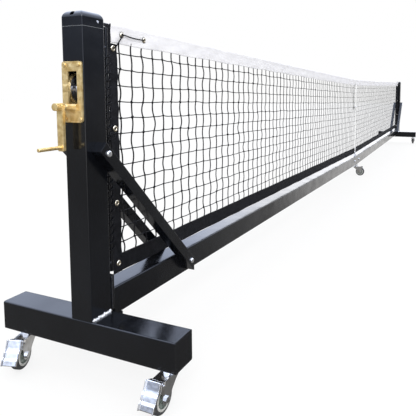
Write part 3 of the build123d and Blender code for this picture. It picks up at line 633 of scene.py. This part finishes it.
# ------------------------------------------------------------------ netting
# Knotted black twine. The upright twines are thicker and kink from knot to knot, the level
# ones are pulled straight, and there is a hard dark knot at every crossing. The twine is more
# worn and fluffed up by the winch, and thinner towards the far post.
twine = finish_material("black_twine", (0.006, 0.006, 0.007), 0.75, Specular_IOR_Level=0.12)
mottle(twine, "Base Color", 300.0, (0.003, 0.003, 0.004), (0.012, 0.012, 0.013))
grain(twine, 1500.0, 0.0003)
TAPE_START, TAPE_END = 0.0866, 0.124     # side tape's edges, from the post's axis
ROD_END_FLAP = 0.0705    # and its edge where it folds over the end of the lacing rod
TAPE_HEIGHT = 0.050
MESH_WIDTH, MESH_HEIGHT, LEVELS = 0.0507, 0.0426, 13
FIRST_UPRIGHT = 0.133    # from the post's axis
TWINE_RADII = (0.0021, 0.0014, 0.0011)   # by the winch post, in the middle, by the far post
LEVEL_SHARE = 0.76       # level twines against upright ones
NET_BOTTOM, NET_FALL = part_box("side_tapes")[0][2], 0.038


def net_bottom(x):
    """Bottom edge of the net: a shallow V down to the middle, like the beam's."""
    return NET_BOTTOM - NET_FALL * (1 - np.abs(x - MIDDLE) / (HALF_SPAN - 0.050))


rng = np.random.default_rng(7)
net_width = FAR_POST - POST - 2 * FIRST_UPRIGHT
across = int(net_width / MESH_WIDTH) + 1
columns_x = POST + FIRST_UPRIGHT + net_width / (across - 1) * np.arange(across)
row = np.arange(LEVELS)
wander_x = 0.0016 * rng.standard_normal((across, LEVELS))
wander_z = 0.0011 * rng.standard_normal((across, LEVELS))
mesh_top = (head_top(columns_x) - TAPE_HEIGHT)[:, None]
mesh_foot = (net_bottom(columns_x) + TAPE_HEIGHT)[:, None]
level_top = mesh_top - (0.60 + row)[None] * MESH_HEIGHT
level_bottom = mesh_foot + (LEVELS - 1 - row + 0.72)[None] * MESH_HEIGHT
mix = row[None] / (LEVELS - 1)
knot_z = (1 - mix) * level_top + mix * level_bottom + wander_z
knot_x = columns_x[:, None] + wander_x + 0.0012 * np.sin(row * 1.9)[None]
knot_y = 0.0004 * rng.standard_normal((across, LEVELS))
knot_centres = np.stack([knot_x, knot_y, knot_z], -1)


def between_knots(knots, steps, bow):
    """Points from knot to knot along axis 1; between two knots the twine bows by bow * sin(pi t)."""
    t = np.arange(steps) / steps
    start, end = knots[:, :-1, None], knots[:, 1:, None]
    line = start + t[:, None] * (end - start) + bow[:, :, None] * np.sin(np.pi * t)[:, None]
    return np.concatenate([line.reshape(len(knots), -1, 3), knots[:, -1:]], 1)


def on_columns(z):
    """One point of the net's middle plane on each upright, as the end of its line."""
    return np.stack([columns_x, 0 * columns_x, z[:, 0]], -1)[:, None]


upright = np.concatenate([on_columns(mesh_top + 0.006), knot_centres, on_columns(mesh_foot - 0.004)], 1)
kink = np.zeros(upright[:, :-1].shape)
way = np.where(np.arange(kink.shape[1]) % 2, 1, -1)
kink[..., 0] = 0.0030 * way + 0.0016 * rng.standard_normal(kink.shape[:2])
kink[:, 0] *= 0.4
kink[..., 1] = 0.0006 * rng.standard_normal(kink.shape[:2])
lines = between_knots(upright, 6, kink)
thickness = np.interp(columns_x, [POST, MIDDLE, FAR_POST], TWINE_RADII)
uprights = mesh_piece("net_upright_twines", *tube(lines, thickness[:, None], 5, up=(0, 1, 0)), twine)


def on_tape(x, z):
    """Where the level twines go into a side tape, as the ends of their lines."""
    return np.stack([np.full(LEVELS, x), np.zeros(LEVELS), z + 0.0015], -1)[:, None]


level_knots = np.concatenate([on_tape(POST + TAPE_END - 0.004, knot_z[0]), knot_centres.swapaxes(0, 1),
                              on_tape(FAR_POST - TAPE_END + 0.004, knot_z[-1])], 1)
sag = np.zeros(level_knots[:, :-1].shape)
sag[..., 2] = -0.0007 + 0.0005 * rng.standard_normal(sag.shape[:2])
lines = between_knots(level_knots, 4, sag)
radii = LEVEL_SHARE * np.interp(lines[..., 0], columns_x, thickness)
crossings = mesh_piece("net_level_twines", *tube(lines, radii, 5, up=(0, 1, 0)), twine)


def knot_shape():
    """A small lopsided ball: rings of radius r * sin(a), flattened and skewed."""
    a = np.linspace(0, np.pi, 5)[1:-1, None]
    b = np.arange(6)[None, :] * np.pi / 3
    rings = [np.sin(a) * np.cos(b), np.sin(a) * np.sin(b), np.broadcast_to(np.cos(a), (3, 6))]
    ball = np.concatenate([np.stack(rings, -1).reshape(-1, 3), [(0, 0, 1), (0, 0, -1)]])
    j = np.arange(6)
    sides = grid_faces(3, 6, close_columns=True)[:, ::-1]
    top = np.stack([np.full(6, 18), j, (j + 1) % 6], -1)
    bottom = np.stack([np.full(6, 19), 12 + (j + 1) % 6, 12 + j], -1)
    return ball * (0.0042, 0.0030, 0.0037), sides, np.concatenate([top, bottom])


ball, sides, ends = knot_shape()
centres = knot_centres.reshape(-1, 3)
size = (1 + 0.14 * rng.standard_normal(len(centres))) * np.repeat(thickness / thickness[0], LEVELS)
lean = 0.35 * rng.standard_normal(len(centres))
balls = ball[None] * size[:, None, None] + centres[:, None]
balls[..., 0] += lean[:, None] * ball[None, :, 2]
offset = (np.arange(len(centres)) * len(ball))[:, None, None]
faces = (sides[None] + offset).reshape(-1, 4).tolist() + (ends[None] + offset).reshape(-1, 3).tolist()
knots = mesh_piece("net_knots", balls, faces, twine)
fixed("black_net", uprights, crossings, knots)
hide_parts("net_mesh")

# ------------------------------------------------------------------ headband
# White vinyl-faced cloth, 1 mm thick, folded over the cable and sewn through both layers near
# the fold's foot. It is a little slack, so it ripples, most of all near the posts.
white_vinyl = finish_material("white_vinyl", (0.70, 0.695, 0.72), 0.5)
mottle(white_vinyl, "Base Color", 26.0, (0.655, 0.65, 0.675), (0.735, 0.73, 0.75), stretch=(0.5, 1, 1.6))
mottle(white_vinyl, "Roughness", 60.0, 0.40, 0.58)


def weave(material, threads, depth):
    """Plain weave in X and Z: two sets of waves, threads to the metre, added as a bump."""
    tree = material.node_tree
    place = node(tree, "TexCoord")
    warp = node(tree, "TexWave", {"Scale": threads / 2, "Distortion": 0.4}, bands_direction="X")
    weft = node(tree, "TexWave", {"Scale": threads / 2, "Distortion": 0.4}, bands_direction="Z")
    both = node(tree, "Math", operation="ADD")
    bump = node(tree, "Bump", {"Strength": 1.0, "Distance": depth})
    link_nodes(tree, ((place, "Object"), (warp, "Vector")), ((place, "Object"), (weft, "Vector")),
               ((warp, 1), (both, 0)), ((weft, 1), (both, 1)), ((both, 0), (bump, "Height")))
    add_bump(material, bump)


weave(white_vinyl, 160.0, 0.00010)
grain(white_vinyl, 34.0, 0.0011, detail=2.0, stretch=(0.5, 1, 1.3))
BAND_WALL, THREAD_RADIUS = 0.0010, 0.00035
# Half of the folded band's section, from its foot up: depth under the top edge and swell.
BAND_DEPTH = np.array([50, 47, 44.5, 42, 38, 33, 28, 23, 18, 14, 11, 8.5, 6, 3.6, 1.8, 0.7]) / 1000
BAND_SWELL = np.array([1.7, 1.8, 1.6, 1.9, 2.2, 2.3, 2.3, 2.3, 2.4, 2.7, 3.1, 3.5, 3.7, 3.4, 2.6, 1.5]) / 1000


def ripple(x, depth):
    """Sum of sines along the band, deeper near its ends and towards its loose foot."""
    near_end = np.exp(-(BAND_HALF - np.abs(x - MIDDLE)) / 0.35)
    down = depth / TAPE_HEIGHT
    waves = (np.sin(x * 41 + 6 * down) + 0.6 * np.sin(x * 97 - 3 * down + 1.3)
             + 0.4 * np.sin(x * 173 + 2.1) + 0.5 * np.sin(x * 17.3 + 0.4))
    return waves * 0.0004 * (1 + near_end)


def folded_band(columns):
    """Inverted U carried along the net: the front leg, over the cable, the back leg."""
    x = MIDDLE + BAND_HALF * np.linspace(-1, 1, columns)[:, None]
    depth = np.concatenate([BAND_DEPTH, [0.0003], BAND_DEPTH[::-1]])[None]
    y = np.concatenate([-BAND_SWELL, [0.0], BAND_SWELL[::-1]])[None]
    y = y + ripple(x, depth) * np.clip(depth / 0.03, 0, 1)
    z = head_top(x) - depth - 0.0006 + 0.0010 * np.sin(x * 23 + 1) * np.clip(depth / TAPE_HEIGHT, 0, 1)
    return np.stack([np.broadcast_to(x, z.shape), np.broadcast_to(y, z.shape), z], -1)


band_points = folded_band(1500)
band = mesh_piece("headband_cloth", band_points, grid_faces(*band_points.shape[:2])[:, ::-1], white_vinyl)
thicken(band, "cloth thickness", BAND_WALL)
white_thread = finish_material("white_thread", (0.74, 0.74, 0.73), 0.6)
mottle(white_thread, "Base Color", 900.0, (0.66, 0.66, 0.65), (0.82, 0.82, 0.81))
# Two rows of stitches on each face, each stitch an arched line of three points.
seams = Bundle()
stitches = MIDDLE + BAND_HALF * np.linspace(-0.999, 0.999, 1150)
x = stitches[:, None] + np.array([-0.0019, 0, 0.0019])[None]
arch = np.array([0.0018, 0.0026, 0.0018])
for side in (-1, 1):
    for low in (0.0445, 0.0475):
        z = head_top(x) - low - 0.0006 + 0.0009 * np.sin(x * 23 + 1)
        seams.add(*tube(np.stack([x, side * arch + ripple(x, low), z], -1), THREAD_RADIUS, 4))
seams = seams.piece("headband_seams", white_thread)

# ------------------------------------------------------------------ black tapes and grommets
# Black polyester tape folded round the net's sides and foot, with a hem line, and brass
# grommets set in it for the lacing and the ties.
black_tape = finish_material("black_tape", (0.007, 0.007, 0.009), 0.62, Specular_IOR_Level=0.1)
mottle(black_tape, "Base Color", 60.0, (0.004, 0.004, 0.005), (0.010, 0.010, 0.012))
weave(black_tape, 700.0, 0.0002)
grain(black_tape, 45.0, 0.0010, detail=2.0)


def rolled_tape(x, middle, swell, z):
    """A tape's section carried along a grid: the front face, then the back face, rolled edges."""
    shape = np.broadcast_shapes(np.shape(x), np.shape(middle), np.shape(z))
    front, back = (np.stack([np.broadcast_to(part, shape) for part in (x, middle + way * swell, z)], -1)
                   for way in (-1, 1))
    return np.concatenate([front, back[:, ::-1][:, 1:-1]], 1)


def side_wave(z):
    """How far the side tape stands off the net's plane."""
    return 0.0010 * np.sin(z * 61 + 0.4) + 0.0006 * np.sin(z * 143)


def side_tape_points(axis, inward):
    """Flat strip with rolled edges: narrow beside the headband, wide below it, a little wavy,
    and with a flap folded over the end of the lacing rod."""
    spans = ((NET_BOTTOM, HEAD_END_TOP - 0.0535, 120), (HEAD_END_TOP - 0.0520, HEAD_END_TOP - 0.0130, 12),
             (HEAD_END_TOP - 0.0120, HEAD_END_TOP - 0.0045, 5))
    z = np.concatenate([np.linspace(*span) for span in spans])[:, None]
    start = np.where(z > HEAD_END_TOP - 0.0125, ROD_END_FLAP, TAPE_START)
    reach = np.where(z < HEAD_END_TOP - 0.0528, TAPE_END, NET_START - 0.0006)
    u = np.array([0, 0.03, 0.10, 0.17, 0.30, 0.5, 0.7, 0.83, 0.90, 0.97, 1.0])[None]
    swell = np.array([0.2, 1.3, 1.6, 1.0, 1.25, 1.3, 1.25, 1.0, 1.6, 1.3, 0.2])[None] / 1000
    s = start + u * (reach - start) + 0.0004 * np.sin(z * 75) * (1 - u)
    return rolled_tape(axis + inward * s, side_wave(z), swell, z)


def foot_tape_points(columns):
    """Folded tape along the net's foot: rolled top and bottom edges and a stitched line."""
    x = np.linspace(POST + TAPE_END - 0.0006, FAR_POST - TAPE_END + 0.0006, columns)[:, None]
    v = np.array([0, 0.03, 0.10, 0.16, 0.3, 0.5, 0.7, 0.84, 0.90, 0.97, 1.0])[None]
    swell = np.array([0.2, 1.3, 1.6, 1.0, 1.3, 1.35, 1.3, 1.0, 1.6, 1.3, 0.2])[None] / 1000
    wave = 0.0012 * np.sin(x * 13) + 0.0007 * np.sin(x * 37 + 1)
    z = net_bottom(x) + v * TAPE_HEIGHT + 0.0006 * np.sin(x * 29) * (1 - v)
    return rolled_tape(x, wave * (0.4 + 0.6 * v), swell, z)


def closed_strip(points):
    """A tape's section grid with both of its ends closed."""
    rows, round_count = points.shape[:2]
    return capped(points, grid_faces(rows, round_count, close_columns=True), 1, rows, round_count)


tapes = Bundle()
for _, axis, inward in ENDS:
    shell, faces = closed_strip(side_tape_points(axis, inward))
    tapes.add(shell, faces if inward > 0 else [f[::-1] for f in faces])
tapes = tapes.piece("side_tape_cloth", black_tape)
shell, faces = closed_strip(foot_tape_points(700))
foot_tape = mesh_piece("foot_tape_cloth", shell, [f[::-1] for f in faces], black_tape)
GROMMET_S = 0.1085       # from the post's axis
GROMMET_HEIGHTS = (0.851, 0.641, 0.440, 0.274)
EYELETS = ((0.1395, 0.888), (0.2405, 0.8845))   # (distance from the post's axis, height)
EYELET_DEPTH = 0.026     # below the headband's top edge
grommet_brass = finish_material("grommet_brass", (0.74, 0.64, 0.46), 0.30, 1.0)
mottle(grommet_brass, "Base Color", 500.0, (0.60, 0.50, 0.33), (0.88, 0.80, 0.63))
# Painted shade: dark discs in the grommets' bores stand in for the shaded holes, and dark rings round the
# grommets stand in for the shadow line at their edges.
grommet_shade_paint = finish_material("grommet_painted_shade", (0.004, 0.004, 0.004), 0.9)
# Half sections as (radius, distance from the cloth's face).
GROMMET = ((0.0034, 0.0006), (0.0037, 0.0018), (0.0050, 0.0029), (0.0067, 0.0025), (0.0083, 0.0012),
           (0.0085, 0.0004))
GROMMET_BORE = ((0.0001, 0.0007), (0.0038, 0.0007))
GROMMET_SHADOW_RING = ((0.0082, 0.0003), (0.0102, 0.0001))


def grommets(name, places, lift, scale):
    """Rolled rings on both faces of the cloth, each with a dark disc of painted shade in its bore and a dark
    ring of painted shadow round it.
    """
    rings, shade_marks = Bundle(), Bundle()
    for x, z, wave in places:
        for side in (-1, 1):
            for bundle, section, sides in ((rings, GROMMET, 28), (shade_marks, GROMMET_BORE, 20),
                                           (shade_marks, GROMMET_SHADOW_RING, 28)):
                profile = [(scale * r, side * (y + lift) + wave) for r, y in section]
                faces = grid_faces(sides, len(section), close_rows=True)
                bundle.add(ring_points(profile, (x, 0, z), sides), faces if side > 0 else faces[:, ::-1])
    return rings.piece(name, grommet_brass), shade_marks.piece(name + "_bores", grommet_shade_paint)


tape_places = [(axis + inward * GROMMET_S, z, side_wave(z))
               for _, axis, inward in ENDS for z in GROMMET_HEIGHTS]
band_places = [(axis + inward * s, z, ripple(axis + inward * s, EYELET_DEPTH))
               for _, axis, inward in ENDS for s, z in EYELETS]
tape_rings, tape_shade_marks = grommets("tape_grommets", tape_places, 0.0008, 1.0)
band_rings, band_shade_marks = grommets("headband_eyelets", band_places, 0.0042, 0.84)
fixed("white_vinyl", band, seams)
fixed("black_tape", tapes, foot_tape)
fixed("brass", tape_rings, tape_shade_marks, band_rings, band_shade_marks)
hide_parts("headband")
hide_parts("side_tapes")
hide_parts("bottom_tape")

# ------------------------------------------------------------------ lacing and ties
# Braided black cord, 4 mm, wound in an even spiral round each rod and the edge of the side
# tape, knotted off at the second grommet. A shorter cord ties the headband's corner down.
braid = finish_material("black_braid", (0.006, 0.006, 0.007), 0.7, Specular_IOR_Level=0.12)
mottle(braid, "Base Color", 700.0, (0.003, 0.003, 0.004), (0.012, 0.012, 0.013))
grain(braid, 1100.0, 0.0004)
ROD_S = 0.080            # from the post's axis
CORD_RADIUS, TIE_RADIUS, TAIL_RADIUS = 0.0021, 0.00175, 0.0015
TURN_POINTS = 12
PITCH = 0.0200
COIL_SPANS = (("lower", 0.306, 0.547), ("upper", 0.573, 0.832))


def lacing_route(axis, inward, low, high):
    """Flattened spiral: the cord goes round the rod, and out through the tape's edge."""
    turns = int((high - low) / PITCH)
    a = np.arange(turns * TURN_POINTS + 1) * 2 * np.pi / TURN_POINTS
    reach = np.where(np.cos(a) > 0, 0.0128, 0.0088)
    s = ROD_S + reach * np.cos(a) + 0.0004 * np.sin(a * 0.21)
    y = -0.0074 * np.sin(a) * inward
    z = high - PITCH * a / (2 * np.pi) + 0.0007 * np.sin(a * 0.37)
    return np.stack([axis + inward * s, y, z], -1)


lacings = []
for side_name, axis, inward in ENDS:
    for part_name, low, high in COIL_SPANS:
        turns = lacing_route(axis, inward, low, high)
        cord = spline(f"{side_name}_{part_name}_lacing", turns, CORD_RADIUS, braid, 3)
        lacings.append(cord)


def tie_route(axis, inward):
    """From the top grommet up to the first eyelet, through it, and along to the second one."""
    s0, z0 = GROMMET_S, GROMMET_HEIGHTS[0]
    (s1, z1), (s2, z2) = EYELETS
    local = [(s0, -0.0036, z0), (s0 + 0.003, -0.0064, z0 + 0.003), (s0 + 0.008, -0.0070, z0 + 0.009),
             (s0 + 0.015, -0.0072, z0 + 0.017), (s1 - 0.006, -0.0076, z1 - 0.009),
             (s1 - 0.001, -0.0082, z1 - 0.002), (s1 + 0.004, -0.0084, z1 + 0.001),
             (s1 + 0.03, -0.0078, z1 - 0.003), (s2 - 0.03, -0.0078, z2 - 0.0015),
             (s2 - 0.006, -0.0082, z2), (s2, -0.0060, z2)]
    return [(axis + inward * s, y, z) for s, y, z in local]


for side_name, axis, inward in ENDS:
    points = tie_route(axis, inward)
    cord = spline(f"{side_name}_headband_tie", points, TIE_RADIUS, braid)
    lacings.append(cord)
# A tangle of cord over the rod under the second grommet, with a short tail.
tails = Bundle()
t = np.linspace(0, 1, 40)
for _, axis, inward in ENDS:
    knot_s = ROD_S + 0.004 + 0.0135 * np.cos(t * 9.0) * (1 - 0.3 * t)
    tail_s = ROD_S - 0.001 + 0.0020 * np.sin(t * 4.0)
    tails.tube(np.stack([axis + inward * knot_s, -0.0085 - 0.0035 * np.sin(t * 13.0),
                         0.6225 + 0.0085 * np.sin(t * 8.0 + 1.0)], -1), CORD_RADIUS, 8, up=(0.2, 0.1, 1))
    tails.tube(np.stack([axis + inward * tail_s, -0.0102 - 0.0010 * t, 0.6120 - 0.033 * t], -1),
               TAIL_RADIUS, 8, up=(0, 1, 0))
tails = tails.piece("lacing_knots", braid)
fixed("black_cord", *lacings, tails)
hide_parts("lacing_cords")

# ------------------------------------------------------------------ centre strap and its hook
# White webbing, 36 mm wide, over the headband and down the front to the eye on the beam, with
# a slider to set its length, a wire loop and a swivel snap hook in bright nickel.
nickel = finish_material("bright_nickel", (0.95, 0.94, 0.92), 0.32, 0.6, edge=0.0005)
mottle(nickel, "Roughness", 120.0, 0.28, 0.44)
coat(nickel, "strap_slider_and_loop", "strap_hook", "hook_gate")
webbing = finish_material("white_webbing", (0.80, 0.80, 0.79), 0.7)
mottle(webbing, "Base Color", 40.0, (0.76, 0.76, 0.75), (0.84, 0.84, 0.83))
weave(webbing, 900.0, 0.0004)
strap_low, strap_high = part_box("centre_strap")
STRAP_HALF = (strap_high[0] - strap_low[0]) / 2
STRAP_FRONT = strap_low[1] + 0.0010
STRAP_WALL = 0.0014
BACK_END = 0.600
TOP_BEND, BEND_REACH = 0.012, 0.0048     # height and half width of the bend over the headband


def soft_step(rise):
    """0 to 1, flat at both ends."""
    rise = np.clip(rise, 0, 1)
    return rise ** 2 * (3 - 2 * rise)


def strap_points():
    """One ribbon: up the front from the loop, over the headband, down the back."""
    top = strap_high[2] - 0.0010
    foot = strap_low[2] + 0.0010
    z_front = np.linspace(foot, top - 0.016, 60)
    rise = (z_front - (top - 0.085)) / 0.07
    wave = 0.0004 * np.sin(z_front * 40) * (1 - np.clip(rise, 0, 1))
    front = np.stack([STRAP_FRONT + 0.0062 * soft_step(rise) + wave, z_front], -1)
    a = np.linspace(0, np.pi, 15)
    over = np.stack([-BEND_REACH * np.cos(a), top - TOP_BEND + TOP_BEND * np.sin(a) ** 0.8], -1)
    z_back = np.linspace(top - 0.016, BACK_END, 26)
    back = np.stack([BEND_REACH + 0.0050 * soft_step((top - 0.016 - z_back) / 0.06), z_back], -1)
    line = smooth_line(np.concatenate([front, over, back]), 120)
    across = np.array([-1, -0.97, -0.88, -0.6, -0.3, 0, 0.3, 0.6, 0.88, 0.97, 1])
    thick = 0.00022 * np.array([0, 1, 1.3, 0.9, 1.0, 1.05, 1.0, 0.9, 1.3, 1, 0])
    x = np.broadcast_to(MIDDLE + STRAP_HALF * 0.998 * across, (len(line), len(across)))
    outward = np.gradient(line, axis=0)
    outward = np.stack([-outward[:, 1], outward[:, 0]], -1) / np.linalg.norm(outward, axis=1)[:, None]
    place = line[:, None] + outward[:, None] * thick[None, :, None]
    return np.stack([x, place[..., 0], place[..., 1]], -1), line


points, line = strap_points()
strap = mesh_piece("strap_webbing", points, grid_faces(*points.shape[:2]), webbing)
thicken(strap, "webbing thickness", STRAP_WALL)
fixed("white_webbing", strap)
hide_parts("centre_strap")

# ------------------------------------------------------------------ pulleys in the caps
# Black nylon wheels on steel pins.
nylon = finish_material("pulley_nylon", (0.03, 0.03, 0.032), 0.4)
mottle(nylon, "Roughness", 80.0, 0.32, 0.5)
coat(nylon, "left_sheave", "right_sheave")
